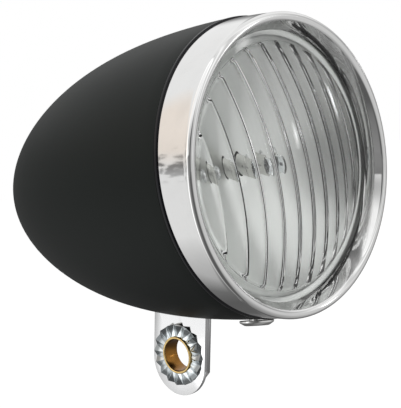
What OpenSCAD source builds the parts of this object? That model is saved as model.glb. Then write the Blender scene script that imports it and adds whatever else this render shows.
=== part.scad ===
// Small bullet headlight for a bicycle: a pressed shell, a chromed bezel that
// carries the lens, reflector and bulb, and a folded steel tab for an M6 bolt.
// The origin is the centre of the bolt hole. The light leaves along -Y.

/* [Shell] */
// Outer radius of the shell at its mouth
shell_r = 30.4; // [28:0.1:34]
// Length of the shell behind the seam
shell_len = 72; // [66:0.5:84]
// Thickness of the pressed shell
shell_wall = 1; // [0.8:0.1:1.4]
// Fullness of the bullet along its length
shell_fullness = 2.44; // [2:0.02:3]
// Fullness of the bullet across its width
shell_roundness = 1.58; // [1.3:0.02:2]

/* [Bezel] */
// Step from the shell down to the bezel at the seam
seam_step = 0.4; // [0.2:0.1:0.8]
// Swell of the bezel's band over its straight line
band_swell = 0.1; // [0:0.05:0.4]
// Distance from the seam to the front of the lip, on the axis
bezel_depth = 8.2; // [7.6:0.1:9.2]
// Radius of the rolled lip's section
lip_roll = 1; // [0.8:0.05:1.3]
// Width of the slope from the roll in to the lip's edge
lip_slope = 1.3; // [0.9:0.1:1.6]
// Width of the lens rim that the lip covers
lip_hold = 1; // [0.7:0.1:1.4]
// Thickness of the bezel's sheet
bezel_wall = 0.7; // [0.5:0.05:0.9]
// Angle by which the bezel and lens tip down from the shell's axis
front_rake = 3.6; // [0:0.1:4]
// Length of the bezel's skirt inside the shell
skirt_len = 8; // [7:0.1:10]
// Play between the skirt and the shell
skirt_play = 0.5; // [0.3:0.05:0.7]
// Thickness of the black seal in the seam
seal_t = 0.7; // [0.5:0.05:1]

/* [Lens] */
// Depth of the lens rim behind the front of the lip
lens_recess = 4; // [3.6:0.1:4.3]
// Thickness of the lens rim
lens_rim_t = 1.5; // [1.2:0.1:1.7]
// Play of the lens and of the reflector's flange inside the skirt
lens_play = 0.3; // [0.2:0.05:0.5]
// Width of the flat rim round the dome
rim_w = 3.5; // [3:0.1:5]
// Height of the dome over its edge
dome_h = 5.8; // [3:0.1:7]
// Height of the dome's edge over the rim's face
dome_step = 0.8; // [0.3:0.1:1.2]
// Thickness of the glass in the dome
lens_wall = 2.2; // [1.6:0.1:2.6]
// Width of the dome's edge past the fluted hollow
hollow_edge = 0.2; // [0.2:0.05:1]
// Number of upright flutes inside the dome
flutes = 11; // [7:2:17]
// Depth of one flute
flute_h = 0.35; // [0.15:0.05:0.6]
// Angle of the flutes from upright
flute_lean = 8; // [-15:1:15]
// Thickness of the gasket in front of the lens rim
gasket_t = 0.6; // [0.4:0.05:0.8]

/* [Reflector] */
// Width of the reflector's flange
flange_rim = 1.9; // [1.6:0.1:3]
// Depth of the bowl behind its flange
bowl_depth = 14.7; // [13:0.1:16.5]
// Thickness of the reflector's sheet and flange
reflector_wall = 0.6; // [0.5:0.05:0.8]
// Number of spring clips that hold the reflector
clips = 3; // [3:1:4]
// Width of one spring clip
clip_w = 6; // [4:0.5:8]
// Length of one spring clip's leg along the skirt
clip_len = 6.5; // [5:0.1:8]

/* [Bulb] */
// Radius of the bulb's threaded cap
cap_r = 4.7; // [4.5:0.05:5]
// Length of the bulb's cap
cap_len = 9; // [8:0.1:11]
// Distance of the cap's front behind the bowl's lowest point
cap_sink = 0.6; // [0.6:0.1:1.4]
// Radius of the metal collar that holds the glass
collar_r = 2.15; // [2.1:0.05:2.8]
// Play of the collar in the reflector's hole
collar_play = 0.35; // [0.2:0.05:0.6]
// Length of the collar
collar_len = 11.7; // [10:0.1:13]
// Outer radius of the glass
glass_r = 1.85; // [1.6:0.05:1.9]
// Length of the glass that shows
glass_len = 4.3; // [3.5:0.1:6]
// Wall of the glass
glass_wall = 0.5; // [0.4:0.05:0.7]
// Play in the bulb's thread
thread_play = 0.06; // [0.03:0.01:0.09]
// Wall of the bulb holder
holder_wall = 0.7; // [0.5:0.05:1]
// Radius of the holder's flange
holder_r = 8.8; // [8.4:0.1:10]
// Radius of a holder rivet's shank
rivet_r = 0.8; // [0.6:0.05:1]
// Width of a rivet's head past its shank
rivet_rim = 0.6; // [0.4:0.05:0.8]
// Height of a rivet's head
rivet_head = 0.5; // [0.4:0.05:0.8]
// Angle of the two rivets from level, round the axis
rivet_turn = 6.5; // [-15:0.5:15]

/* [Retaining screw] */
// Angle of the retaining screw from the lowest point, round the axis
screw_angle = 8; // [0:1:20]
// Distance of the screw behind the seam
screw_back = 4.9; // [4.3:0.1:5.4]
// Radius of the screw's head
head_r = 3.5; // [3:0.1:3.8]
// Height of the screw's head
head_h = 1.1; // [0.9:0.1:1.5]
// Radius of the screw's shank
shank_r = 1.5; // [1.25:0.05:1.7]
// Play round a turning screw
screw_play = 0.05; // [0.02:0.01:0.09]
// Thickness of the nut inside the skirt
nut_t = 2; // [1.6:0.1:2.4]
// Width of the nut across its flats
nut_w = 5.5; // [5:0.1:6]

/* [Bracket] */
// Distance of the bolt hole below the shell's axis
bolt_drop = 37.7; // [37:0.1:42]
// Distance of the bolt hole behind the seam
bolt_back = 31.9; // [31:0.1:34]
// Angle of the tab from upright, square to the shell's slope
tab_lean = 14; // [10:1:18]
// Width of the tab
tab_w = 15; // [14.4:0.1:18]
// Thickness of one leaf of the folded tab
leaf_t = 0.9; // [0.7:0.05:1.2]
// Distance from the bolt hole's centre to the foot of the tab
tab_foot = 9; // [8:0.1:11]
// Height by which the far leaf's foot stays above the near one's
foot_step = 1.8; // [1:0.1:3]
// Width of the cut corners of the far leaf's foot
foot_cut = 3.5; // [2.5:0.1:4.5]
// Height of the cut corners of the far leaf's foot
foot_rise = 4.6; // [3:0.1:5]
// Radius of the bolt hole
hole_r = 3.5; // [3.2:0.05:3.6]
// Wall of the brass eyelet
eyelet_wall = 0.35; // [0.3:0.05:0.5]
// Width of the eyelet's rolled rim
eyelet_rim = 0.6; // [0.5:0.05:0.8]
// Length of the eyelet past its far flange
eyelet_tail = 1; // [0.5:0.1:1.5]
// Outer radius of the serrated ring
star_r = 6.6; // [6.2:0.1:7.1]
// Number of serrations
star_teeth = 16; // [12:1:24]
// Thickness of the ring under its teeth
star_t = 0.35; // [0.3:0.05:0.6]
// Height of a tooth
tooth_h = 0.45; // [0.3:0.05:0.6]
// Width of each flange inside the shell
flange_w = 9; // [7:0.5:11]
// Thickness of the saddle plate over the flanges
saddle_t = 1.2; // [0.8:0.1:1.6]

/* [Terminal] */
// Width of the terminal block
block_w = 12; // [10:0.5:14]
// Length of the terminal block
block_len = 14; // [13:0.5:15]
// Height of the block's top under the shell's axis
block_drop = 17.5; // [16:0.5:18]
// Width of the contact spring
spring_w = 5; // [4:0.5:6]
// Thickness of the contact spring
spring_t = 0.4; // [0.3:0.05:0.5]
// Length of the lip at the contact spring's top
spring_lip = 1.6; // [1:0.1:2.5]
// Gap between the bulb's tip and the contact spring
spring_gap = 0.2; // [0.1:0.05:0.3]
// Radius of the terminal screw's shank
clamp_r = 1.5; // [1.25:0.05:1.6]
// Depth of the terminal screw in its block
clamp_depth = 4; // [3:0.1:5]
// Thickness of the terminal's clamping plate
clamp_t = 0.8; // [0.6:0.1:1.2]

/* [Cable inlet] */
// Angle of the inlet from the lowest point, round the axis
inlet_angle = -32; // [-60:1:-25]
// Distance of the inlet behind the seam
inlet_back = 46; // [44:0.5:50]
// Radius of the hole through the grommet
cable_r = 1.4; // [1:0.05:1.8]
// Thickness of the grommet's rubber round the cable
grommet_wall = 1.1; // [0.8:0.05:1.5]
// Width of the grommet's lips over the shell's hole
grommet_lip = 0.9; // [0.6:0.05:1.2]
// Thickness of the grommet's lips
grommet_lip_t = 1; // [0.6:0.05:1.2]

/* [Hidden] */

fine = 96;
mid = 48;
shell_steps = 26;
band_steps = 6;
bowl_steps = 18;
big = 200;
dome_root = 1;

band_r = shell_r - seam_step;
skirt_r = shell_r - shell_wall - skirt_play;
lens_r = skirt_r - bezel_wall - lens_play;
opening_r = lens_r - lip_hold;
dome_r = lens_r - rim_w;
bowl_r = lens_r - flange_rim;
core_r = opening_r + lip_slope + lip_roll;
core_h = bezel_depth - lip_roll;
lens_face = bezel_depth - lens_recess;
lens_back = lens_face - lens_rim_t;
wall_back = lens_face + gasket_t;
gasket_r = band_r - bezel_wall - 0.05;
flange_back = lens_back - reflector_wall;
bowl_floor = lens_back - bowl_depth;
focus4 = bowl_r * bowl_r / bowl_depth;
bowl_back_r = bowl_r + reflector_wall;
neck_r = collar_r + collar_play;
cap_front = bowl_floor - cap_sink;
cap_back = cap_front - cap_len;
collar_front = cap_front + collar_len;
glass_front = collar_front + glass_len;
glass_seat = 1.5;
insulator_h = 1.8;
contact_h = 0.9;
tip_back = cap_back - insulator_h - contact_h;
holder_front = bowl_floor + neck_r * neck_r / focus4 - reflector_wall - 0.05;
holder_flange_t = reflector_wall;
holder_gap = 1;
rivet_seat = 0.05;
rivet_at = (cap_r + thread_play + holder_wall + holder_r) / 2;
rivet_head_r = rivet_r + rivet_rim;
rivet_front = bowl_floor + rivet_at * rivet_at / focus4 + rivet_head + rivet_seat;
rivet_back = holder_front - holder_gap - holder_flange_t - rivet_head;
eyelet_r = hole_r + eyelet_wall;
star_face = leaf_t + star_t;
spring_y = -tip_back * cos(front_rake) + contact_h * sin(front_rake) + spring_gap;
inside_t = leaf_t + saddle_t;
block_mid = bolt_back + 1;
clamp_back = block_mid;
clamp_head_r = clamp_r * 1.9;
clamp_head_h = clamp_r * 1.1;

// Shell radius at a distance y behind the seam, for a skin moved in by t
function skin_r(y, t) =
    (shell_r - t) * pow(1 - pow(min(y / (shell_len - t), 1), shell_fullness), 1 / shell_roundness);

// Shell outline from the seam to the tail, as radius and distance forward
function skin_points(t) = [
    for (i = [0:shell_steps]) let (a = 90 * i / shell_steps)
        [(shell_r - t) * pow(cos(a), 2 / shell_roundness), -(shell_len - t) * pow(sin(a), 2 / shell_fullness)]
];

// Height of the bowl over the seam at radius r
function bowl_h(r) = bowl_floor + r * r / focus4;

// Angle of the shell's surface from its axis, at a distance y behind the seam
function skin_slope(y) = atan((skin_r(y - 0.5, 0) - skin_r(y + 0.5, 0)) / 1);

// Places and turning

// Moves the lamp from its own axis and seam to the bolt's frame
module lamp() {
    translate([0, -bolt_back, bolt_drop]) children();
}

// The tipped frame of the bezel, lens, reflector and bulb
module front() {
    lamp() rotate([front_rake, 0, 0]) children();
}

// Turns a radius and forward outline about the lamp's axis
module spun(sides = fine) {
    rotate([90, 0, 0]) rotate_extrude($fn = sides) children();
}

// A straight rod on the lamp's axis, from one forward distance to another
module rod(r, from, to, sides = mid) {
    rotate([90, 0, 0]) translate([0, 0, from]) cylinder(h = to - from, r = r, $fn = sides);
}

// A tube on the lamp's axis
module tube(outer, inner, from, to, sides = fine) {
    spun(sides) translate([inner, from]) square([outer - inner, to - from]);
}

// The leaning frame of the tab, with its centre on the bolt
module tab() {
    rotate([tab_lean, 0, 0]) children();
}

// The frame of the retaining screw, with -Z outwards
module at_screw() {
    lamp() rotate([0, screw_angle, 0]) translate([0, screw_back, 0]) children();
}

// The frame of the cable inlet on the shell's surface, with Z outwards
module at_inlet() {
    lamp() rotate([0, inlet_angle, 0]) translate([0, inlet_back, -skin_r(inlet_back, 0)])
        rotate([180 + skin_slope(inlet_back), 0, 0]) children();
}

// A rod through the shell's wall at the cable inlet
module inlet_rod(r) {
    deep = shell_r / 2;
    at_inlet() translate([0, 0, -deep / 2]) cylinder(h = deep, r = r, $fn = mid);
}

// The solid inside a skin that is moved in by t
module skin_solid(t) {
    lamp() spun() polygon(concat([[0, 0]], skin_points(t)));
}

// Shell

module shell() {
    color("#1c1e1f") difference() {
        skin_solid(0);
        skin_solid(shell_wall);
        lamp() translate([-big / 2, seal_t - big, -big / 2]) cube([big, big, big]);
        tab_slot();
        screw_notch();
        inlet_rod(cable_r + grommet_wall);
    }
}

module tab_slot() {
    slot_w = tab_w + 0.2;
    tab() translate([-leaf_t - 0.1, -slot_w / 2, 0]) cube([2 * leaf_t + 0.2, slot_w, bolt_drop / 2]);
}

module screw_notch() {
    notch_r = shank_r + 0.3;
    deep = 4 * shell_wall;
    at_screw() translate([0, 0, -shell_r - deep / 2]) {
        cylinder(h = deep, r = notch_r, $fn = mid);
        translate([-notch_r, -screw_back, 0]) cube([2 * notch_r, screw_back, deep]);
    }
}

module seam_seal() {
    color("#101012") lamp() tube(shell_r + 0.05, skirt_r + 0.05, -seal_t + 0.02, 0);
}

// Bezel

// Outer line of the band from behind the seam to the lip
function band_points(inset) = [
    for (i = [0:band_steps]) let (s = i / band_steps, h = -3 + (core_h + 3) * s)
        [band_r + (core_r + lip_roll - band_r) * s + band_swell * sin(180 * s) - inset, h]
];

function arc_points(r, from, to, steps) = [
    for (i = [0:steps]) let (a = from + (to - from) * i / steps)
        [core_r + r * cos(a), core_h + r * sin(a)]
];

function turned_round(points) = [for (i = [len(points) - 1:-1:0]) points[i]];

module bezel_outline() {
    outer = concat(band_points(0), arc_points(lip_roll, 0, 180, 16), [[opening_r, wall_back]]);
    inner = concat(
        [[opening_r + bezel_wall, wall_back]],
        arc_points(lip_roll - bezel_wall, 180, 0, 12),
        turned_round(band_points(bezel_wall))
    );
    polygon(concat(outer, inner));
}

module bezel() {
    color("#c9ccce") difference() {
        union() {
            intersection() {
                front() spun() bezel_outline();
                lamp() translate([-big / 2, -big, -big / 2]) cube([big, big, big]);
            }
            lamp() tube(band_r - bezel_wall / 2, skirt_r - bezel_wall, 0, bezel_wall);
            lamp() tube(skirt_r, skirt_r - bezel_wall, -skirt_len, bezel_wall / 2);
        }
        at_screw() translate([0, 0, -skirt_r - 2 * bezel_wall])
            cylinder(h = 5 * bezel_wall, r = shank_r + screw_play, $fn = mid);
    }
}

// Lens

module lens_gasket() {
    color("#26282a") front() spun() polygon([
        [opening_r + 0.05, lens_face], [lens_r + 0.05, lens_face], [lens_r + 0.05, lens_back + 0.2],
        [gasket_r, lens_back + 0.2], [gasket_r, wall_back], [opening_r + 0.05, wall_back]
    ]);
}

// Radius of the sphere that a dome of a given height and edge belongs to
function dome_sphere(r, h) = (r * r + h * h) / (2 * h);

module dome(r, h, base) {
    sphere_r = dome_sphere(r, h);
    spun() polygon(concat([[0, base - dome_root], [0, base + h]], [
        for (i = [1:16]) let (x = r * i / 16)
            [x, base + h - sphere_r + sqrt(sphere_r * sphere_r - x * x)]
    ], [[r, base - dome_root]]));
}

module lens() {
    edge_h = lens_face + dome_step;
    hollow_r = dome_r - hollow_edge;
    color("#d8e2e2", 0.45) front() difference() {
        union() {
            tube(lens_r, dome_r - 2, lens_back, lens_face);
            dome(dome_r, dome_h, edge_h);
        }
        dome(hollow_r, dome_h, edge_h - lens_wall);
        rod(hollow_r, lens_back - lens_wall, edge_h - lens_wall - dome_root / 2, fine);
        intersection() {
            rod(hollow_r, lens_back, edge_h + dome_h, fine);
            flute_rings(hollow_r, edge_h - lens_wall);
        }
        translate([-big / 2, -lens_back, -big / 2]) cube([big, big, big]);
    }
}

// Rings that follow the dome's inside, one for each flute
module flute_rings(hollow_r, base) {
    sphere_r = dome_sphere(hollow_r, dome_h);
    pitch = 2 * hollow_r / flutes;
    cut_r = (pitch * pitch / 4 + flute_h * flute_h) / (2 * flute_h);
    last = (flutes - 1) / 2;
    rotate([0, -flute_lean, 0]) for (i = [-last:last]) {
        x = i * pitch;
        ring_r = sqrt(sphere_r * sphere_r - x * x) + flute_h - cut_r;
        translate([x, sphere_r - base - dome_h, 0]) rotate([0, 90, 0])
            rotate_extrude($fn = fine) translate([ring_r, 0]) circle(r = cut_r, $fn = 32);
    }
}

// Reflector

module reflector() {
    bowl = [for (i = [0:bowl_steps]) let (r = neck_r + (bowl_r - neck_r) * i / bowl_steps) [r, bowl_h(r)]];
    back = [for (p = turned_round(bowl)) let (a = atan(2 * p[0] / focus4))
        [p[0] + reflector_wall * sin(a), p[1] - reflector_wall * cos(a)]];
    color("#e4e6e6") front() difference() {
        union() {
            spun() polygon(concat(bowl, back));
            tube(lens_r, bowl_r, flange_back, lens_back);
        }
        at_rivets() rod(rivet_r, rivet_back, rivet_front);
    }
}

module reflector_clips() {
    finger_t = 0.6;
    color("#a9adb0") front() for (i = [0:clips - 1]) rotate([0, -90 - 360 * i / clips, 0])
        intersection() {
            difference() {
                rod(lens_r, flange_back - clip_len, flange_back, fine);
                rod(lens_r - finger_t, flange_back - clip_len - 1, flange_back - finger_t, fine);
                rod(bowl_back_r + 0.1, flange_back - clip_len - 1, flange_back + 1, fine);
            }
            translate([0, -big / 2, -clip_w / 2]) cube([big, big, clip_w]);
        }
}

// Bulb and its holder

// Both rivets' places, in the front's frame
module at_rivets() {
    rotate([0, -rivet_turn, 0]) for (side = [-1, 1]) translate([side * rivet_at, 0, 0]) children();
}

module bulb_holder() {
    bore = cap_r + thread_play;
    color("#b9bcbe") front() difference() {
        union() {
            rod(bore + holder_wall, cap_back, holder_front);
            rod(holder_r, holder_front - holder_gap - holder_flange_t, holder_front - holder_gap);
        }
        rod(bore, cap_back - 1, holder_front + 1);
        at_rivets() rod(rivet_r, rivet_back, rivet_front);
    }
}

module holder_rivets() {
    color("#d5d7d8") front() at_rivets() {
        rod(rivet_r, rivet_back, rivet_front);
        rod(rivet_head_r, rivet_front - rivet_head, rivet_front);
        rod(rivet_head_r, rivet_back, rivet_back + rivet_head);
    }
}

module bulb_cap() {
    color("#b88a4a") front() difference() {
        union() {
            rod(cap_r, cap_back, cap_front);
            rod(collar_r, cap_front - 0.5, collar_front);
        }
        rod(glass_r, collar_front - glass_seat, collar_front + 1);
    }
}

module bulb_insulator() {
    color("#2a2522") front() spun(mid) polygon([
        [0, cap_back], [cap_r * 0.85, cap_back], [contact_r() + 0.5, cap_back - insulator_h],
        [0, cap_back - insulator_h]
    ]);
}

function contact_r() = cap_r * 0.34;

module bulb_contact() {
    color("#b4b6b8") front() rod(contact_r(), tip_back, cap_back - insulator_h);
}

module bulb_glass() {
    round_r = glass_r * 0.45;
    seat = collar_front - glass_seat;
    color("#dfe8ea", 0.5) front() spun(mid) difference() {
        union() {
            translate([0, seat]) square([glass_r, glass_front - round_r - seat]);
            square_top = glass_r - round_r;
            translate([0, seat]) square([square_top, glass_front - seat]);
            translate([square_top, glass_front - round_r]) circle(r = round_r, $fn = 32);
        }
        translate([0, seat + glass_wall]) square([glass_r - glass_wall, glass_front - seat - 2.2 * glass_wall]);
        translate([-big, 0]) translate([0, -big / 2]) square([big, big]);
    }
}

module bulb_filament() {
    post_r = 0.22;
    post_gap = glass_r * 0.42;
    coil_h = collar_front + 0.45 * glass_len;
    color("#8d8f92") front() {
        for (side = [-1, 1]) translate([side * post_gap, 0, 0])
            rod(post_r, collar_front - glass_seat + glass_wall, coil_h, 24);
        translate([-post_gap, -coil_h, 0]) rotate([0, 90, 0]) cylinder(h = 2 * post_gap, r = 0.35, $fn = 24);
    }
}

// Retaining screw and its nut

module retaining_screw() {
    under = shell_r + 0.1;
    slot_w = head_r * 0.28;
    tip = skirt_r - bezel_wall - nut_t - 1;
    color("#c4c7c9") at_screw() mirror([0, 0, 1]) difference() {
        union() {
            translate([0, 0, tip]) cylinder(h = under - tip + 0.2, r = shank_r, $fn = mid);
            translate([0, 0, under]) cylinder(h = head_h * 0.4, r = head_r, $fn = mid);
            translate([0, 0, under + head_h * 0.4])
                cylinder(h = head_h * 0.6, r1 = head_r, r2 = head_r * 0.7, $fn = mid);
        }
        translate([-slot_w / 2, -head_r, under + head_h * 0.5]) cube([slot_w, 2 * head_r, head_h]);
    }
}

module retaining_nut() {
    seat = sqrt(pow(skirt_r - bezel_wall, 2) - pow(nut_w / 2, 2)) - 0.05;
    color("#9fa3a6") at_screw() mirror([0, 0, 1]) translate([0, 0, seat - nut_t]) difference() {
        cylinder(h = nut_t, r = nut_w / sqrt(3), $fn = 6);
        translate([0, 0, -nut_t]) cylinder(h = 3 * nut_t, r = shank_r + screw_play, $fn = mid);
    }
}

// Bracket

// One leaf: its outline, given as a child, stands up into the shell and ends in a flange
module leaf(side) {
    difference() {
        tab() translate([side < 0 ? -leaf_t : 0, 0, 0]) rotate([90, 0, 90]) linear_extrude(leaf_t) difference() {
            union() {
                translate([-tab_w / 2, 0]) square([tab_w, bolt_drop / 2]);
                children();
            }
            circle(r = eyelet_r, $fn = mid);
        }
        skin_solid(shell_wall + leaf_t);
    }
    intersection() {
        difference() {
            skin_solid(shell_wall);
            skin_solid(shell_wall + leaf_t);
        }
        tab() translate([side < 0 ? -flange_w : 0, -tab_w / 2, 0]) cube([flange_w, tab_w, bolt_drop / 2]);
    }
}

module near_tab_leaf() {
    round_at = tab_w / 2 - tab_foot;
    color("#c8ccce") leaf(-1) {
        translate([0, round_at]) circle(r = tab_w / 2, $fn = fine);
        translate([-tab_w / 2, round_at]) square([tab_w, -round_at]);
    }
}

module far_tab_leaf() {
    foot = tab_foot - foot_step;
    color("#b9bdbf") leaf(1) polygon([
        [-tab_w / 2, 0], [-tab_w / 2, foot_rise - foot], [foot_cut - tab_w / 2, -foot],
        [tab_w / 2 - foot_cut, -foot], [tab_w / 2, foot_rise - foot], [tab_w / 2, 0]
    ]);
}

module bracket_saddle() {
    color("#8f9396") intersection() {
        difference() {
            skin_solid(shell_wall + leaf_t);
            skin_solid(shell_wall + inside_t);
        }
        tab() translate([-flange_w, -tab_w / 2, 0]) cube([2 * flange_w, tab_w, bolt_drop / 2]);
    }
}

module serrated_ring() {
    half_tooth = 0.94 * star_r * sin(180 / star_teeth);
    root = 0.15;
    color("#d2d5d7") intersection() {
        union() {
            translate([-star_face, 0, 0]) rotate([0, 90, 0]) cylinder(h = star_t, r = star_r + 1, $fn = fine);
            for (i = [0:star_teeth - 1]) rotate([360 * i / star_teeth, 0, 0])
                translate([-star_face, 0, 0]) linear_extrude(star_r + 2) polygon([
                    [root, half_tooth * (1 + root / tooth_h)], [-tooth_h, 0],
                    [root, -half_tooth * (1 + root / tooth_h)]
                ]);
        }
        translate([-star_face - tooth_h, 0, 0]) rotate([0, 90, 0]) difference() {
            cylinder(h = star_t + tooth_h, r = star_r, $fn = fine);
            translate([0, 0, -1]) cylinder(h = star_t + tooth_h + 2, r = eyelet_r + eyelet_rim * 0.9, $fn = mid);
        }
    }
}

module brass_eyelet() {
    near = -star_face - tooth_h / 2;
    far = leaf_t;
    rim_r = eyelet_rim / 2;
    color("#c9a24c") rotate([0, 90, 0]) rotate_extrude($fn = fine) {
        translate([hole_r, near]) square([eyelet_wall, far - near + rim_r + eyelet_tail]);
        translate([hole_r + rim_r, near]) circle(r = rim_r, $fn = 32);
        translate([hole_r + rim_r, near]) square([eyelet_rim / 2, leaf_t * 0.4]);
        translate([hole_r, far]) square([eyelet_wall + 2 * eyelet_rim, rim_r]);
    }
}

// Terminal inside the shell

module terminal_block() {
    color("#5b4632") difference() {
        intersection() {
            skin_solid(shell_wall + inside_t);
            lamp() translate([-block_w / 2, block_mid - block_len / 2, -shell_r])
                cube([block_w, block_len, shell_r - block_drop]);
        }
        at_clamp() translate([0, 0, -big / 2]) cylinder(h = big, r = clamp_r + screw_play, $fn = mid);
    }
}

// The terminal screw's axis, with its zero on the block's top
module at_clamp() {
    lamp() translate([0, clamp_back, -block_drop]) children();
}

module contact_spring() {
    reach = -tip_back * sin(front_rake) + contact_r() + spring_lip;
    foot_end = block_mid + block_len / 2;
    color("#c08a52") lamp() difference() {
        union() {
            translate([-spring_w / 2, spring_y, -block_drop]) cube([spring_w, spring_t, block_drop + reach]);
            translate([-spring_w / 2, spring_y, -block_drop]) cube([spring_w, foot_end - spring_y, spring_t]);
            translate([-spring_w / 2, spring_y, reach - spring_t]) cube([spring_w, spring_lip, spring_t]);
        }
        translate([0, clamp_back, -block_drop - spring_t])
            cylinder(h = 3 * spring_t, r = clamp_r + screw_play, $fn = mid);
    }
}

module terminal_plate() {
    color("#b59a55") at_clamp() translate([0, 0, spring_t]) difference() {
        translate([-spring_w * 0.7, -spring_w * 0.7, 0]) cube([spring_w * 1.4, spring_w * 1.4, clamp_t]);
        translate([0, 0, -clamp_t]) cylinder(h = 3 * clamp_t, r = clamp_r + screw_play, $fn = mid);
    }
}

module terminal_screw() {
    under = spring_t + clamp_t + 0.05;
    slot_w = clamp_r * 0.5;
    color("#c6a458") at_clamp() difference() {
        union() {
            translate([0, 0, -clamp_depth]) cylinder(h = clamp_depth + under + 0.1, r = clamp_r, $fn = mid);
            translate([0, 0, under]) cylinder(h = clamp_head_h, r = clamp_head_r, $fn = mid);
        }
        translate([-clamp_head_r, -slot_w / 2, under + clamp_head_h * 0.5])
            cube([2 * clamp_head_r, slot_w, clamp_head_h]);
    }
}

// Rubber on both faces of the shell, joined through its hole
module cable_grommet() {
    neck = cable_r + grommet_wall;
    color("#222222") difference() {
        intersection() {
            difference() {
                skin_solid(-grommet_lip_t);
                skin_solid(shell_wall + grommet_lip_t);
            }
            union() {
                inlet_rod(neck);
                difference() {
                    inlet_rod(neck + grommet_lip);
                    difference() {
                        skin_solid(0);
                        skin_solid(shell_wall);
                    }
                }
            }
        }
        inlet_rod(cable_r);
    }
}

shell();
seam_seal();
bezel();
lens();
lens_gasket();
reflector();
reflector_clips();
bulb_holder();
holder_rivets();
bulb_cap();
bulb_insulator();
bulb_contact();
bulb_glass();
bulb_filament();
retaining_screw();
retaining_nut();
near_tab_leaf();
far_tab_leaf();
bracket_saddle();
serrated_ring();
brass_eyelet();
terminal_block();
contact_spring();
terminal_plate();
terminal_screw();
cable_grommet();
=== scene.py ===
import math

import bmesh
import bpy
from mathutils import Matrix, Vector


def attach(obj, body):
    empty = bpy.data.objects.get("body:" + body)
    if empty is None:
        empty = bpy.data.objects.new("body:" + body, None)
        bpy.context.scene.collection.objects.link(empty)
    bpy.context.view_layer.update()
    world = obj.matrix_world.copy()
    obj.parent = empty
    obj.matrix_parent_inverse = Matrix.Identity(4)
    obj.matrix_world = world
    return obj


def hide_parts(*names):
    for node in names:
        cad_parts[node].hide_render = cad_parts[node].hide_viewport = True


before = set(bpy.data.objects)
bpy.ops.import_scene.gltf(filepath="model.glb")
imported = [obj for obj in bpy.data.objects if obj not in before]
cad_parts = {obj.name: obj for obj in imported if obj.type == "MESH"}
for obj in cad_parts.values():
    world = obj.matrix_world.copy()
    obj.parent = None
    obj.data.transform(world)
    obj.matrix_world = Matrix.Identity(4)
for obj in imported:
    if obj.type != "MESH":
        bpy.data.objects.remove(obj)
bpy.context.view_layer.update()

mm = 0.001


def spun(angle, axis):
    return Matrix.Rotation(math.radians(angle), 4, axis)


def moved(x, y, z):
    return Matrix.Translation((x * mm, y * mm, z * mm))


lamp = {"back": 31.9, "drop": 37.7, "rake": 3.6, "tabLean": 14.0}
lampFrame = moved(0, -lamp["back"], lamp["drop"])
frontFrame = lampFrame @ spun(lamp["rake"], "X")
tabFrame = spun(lamp["tabLean"], "X")


# Camera

view = {"azimuth": -46.14, "elevation": 2.77, "roll": -9.06, "distance": 300.0, "focalPixels": 1501.85,
        "photoTall": 408, "aside": -12.94, "above": -7.47, "sensor": 36.0, "nearest": 0.01}


def placeCamera():
    azimuth, elevation, roll = (math.radians(view[key]) for key in ("azimuth", "elevation", "roll"))
    back = Vector((math.sin(azimuth) * math.cos(elevation), -math.cos(azimuth) * math.cos(elevation),
                   math.sin(elevation)))
    level = Vector((math.cos(azimuth), math.sin(azimuth), 0))
    upright = back.cross(level)
    right = math.cos(roll) * level + math.sin(roll) * upright
    up = back.cross(right)
    spot = view["aside"] * right + view["above"] * up + view["distance"] * back
    data = bpy.data.cameras.new("photoCamera")
    data.sensor_width = view["sensor"]
    data.lens = view["focalPixels"] * view["sensor"] / view["photoTall"]
    data.clip_start = view["nearest"]
    camera = bpy.data.objects.new("photoCamera", data)
    turn = Matrix((right, up, back)).transposed().to_4x4()
    camera.matrix_world = Matrix.Translation(lampFrame @ (spot * mm)) @ turn
    bpy.context.scene.collection.objects.link(camera)
    bpy.context.scene.camera = camera


placeCamera()
print("camera placed")


# Shader maths

class Wire:  # one output or number in a node tree, with Python's arithmetic
    def __init__(self, tree, socket):
        self.tree = tree
        self.socket = socket

    def maths(self, operation, *others, clamp=False):
        node = self.tree.nodes.new("ShaderNodeMath")
        node.operation = operation
        node.use_clamp = clamp
        for place, value in zip(node.inputs, (self,) + others):
            plug(self.tree, place, value)
        return Wire(self.tree, node.outputs[0])

    def __add__(self, other):
        return self.maths("ADD", other)

    def __sub__(self, other):
        return self.maths("SUBTRACT", other)

    def __rsub__(self, other):
        return Wire(self.tree, other).maths("SUBTRACT", self)

    def __mul__(self, other):
        return self.maths("MULTIPLY", other)

    def __truediv__(self, other):
        return self.maths("DIVIDE", other)

    def __pow__(self, other):
        return self.maths("POWER", other)

    def __lt__(self, other):
        return self.maths("LESS_THAN", other)

    def __gt__(self, other):
        return self.maths("GREATER_THAN", other)

    def __abs__(self):
        return self.maths("ABSOLUTE")

    __radd__ = __add__
    __rmul__ = __mul__

    def clamped(self):
        return self.maths("ADD", 0.0, clamp=True)


def plug(tree, place, value):
    if isinstance(value, Wire):
        value = value.socket
    if isinstance(value, bpy.types.NodeSocket):
        tree.links.new(value, place)
    elif isinstance(value, (tuple, list)) and len(value) == 3 and place.type == "RGBA":
        place.default_value = (*value, 1.0)
    else:
        place.default_value = value


def span(first, second):  # distance from two coordinates
    return (first * first + second * second) ** 0.5


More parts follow.
